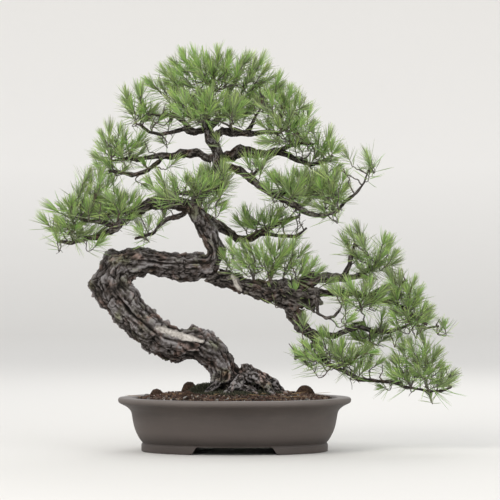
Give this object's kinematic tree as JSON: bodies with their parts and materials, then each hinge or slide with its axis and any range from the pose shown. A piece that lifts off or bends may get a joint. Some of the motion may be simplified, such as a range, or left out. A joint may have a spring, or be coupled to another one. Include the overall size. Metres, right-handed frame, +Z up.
{
  "type": "bonsai pine in an oval pot",
  "caption": "Bent-trunk pine bonsai with a branch hanging low to one side, clouds of fine needles and gnarled roots, in a shallow oval clay pot.",
  "frame": {"origin": "middle of the underside of the whole object's bounding box, on the surface that the pot stands on", "axes": "+X along the pot's long side towards the low hanging branch, +Y from the front of the tree to its back, +Z up"},
  "size_m": [0.922, 0.383, 0.88],
  "materials": {
    "clay": "unglazed grey-brown stoneware, matt with a faint sheen",
    "screen_mesh": "black moulded drainage mesh",
    "wire": "brown anodised soft aluminium wire",
    "soil": "loose grains of red-brown lava, tan clay and grey grit",
    "moss": "short dense cushion moss, dull and soft",
    "fertilizer": "crumbly dark-brown pressed cake",
    "trunk_bark": "rough plated grey-brown bark with dark fissures and a bare bleached strip",
    "branch_bark": "dark flaky brown bark",
    "needles": "slender bright-green needles with a waxy satin sheen"
  },
  "bodies": {
    "root": {"pot": "clay", "drainage_screen_left": "screen_mesh", "drainage_screen_right": "screen_mesh", "screen_clip_left": "wire", "screen_clip_right": "wire", "anchor_wire": "wire", "soil": "soil", "moss_left": "moss", "moss_front": "moss", "moss_back": "moss", "fertilizer_cake_left": "fertilizer", "fertilizer_cake_middle": "fertilizer", "fertilizer_cake_right": "fertilizer", "fertilizer_cake_front": "fertilizer", "trunk": "trunk_bark", "cascade_limb": "branch_bark", "cascade_upper_branch": "branch_bark", "cascade_middle_branch": "branch_bark", "cascade_hanging_branch": "branch_bark", "cascade_lower_branch": "branch_bark", "cascade_inner_branch": "branch_bark", "low_right_branch": "branch_bark", "lower_left_branch": "branch_bark", "left_twig_branch": "branch_bark", "upper_left_branch": "branch_bark", "crown_left_branch": "branch_bark", "crown_right_branch": "branch_bark", "crown_back_branch": "branch_bark", "upper_right_branch": "branch_bark", "long_right_branch": "branch_bark", "front_branch": "branch_bark", "back_branch": "branch_bark", "crown_top_needles": "needles", "crown_left_needles": "needles", "crown_front_needles": "needles", "crown_right_needles": "needles", "crown_back_needles": "needles", "upper_left_needles": "needles", "lower_left_outer_needles": "needles", "lower_left_inner_needles": "needles", "lower_left_back_needles": "needles", "left_twig_needles": "needles", "trunk_front_needles": "needles", "trunk_back_needles": "needles", "upper_right_needles": "needles", "near_right_tuft_needles": "needles", "right_inner_needles": "needles", "right_outer_needles": "needles", "right_back_needles": "needles", "right_tip_tuft_needles": "needles", "low_right_needles": "needles", "cascade_inner_needles": "needles", "cascade_top_needles": "needles", "cascade_outer_needles": "needles", "cascade_side_tuft_needles": "needles", "cascade_middle_needles": "needles", "cascade_low_inner_needles": "needles", "cascade_low_outer_needles": "needles", "cascade_back_needles": "needles"}
  },
  "joints": []
}
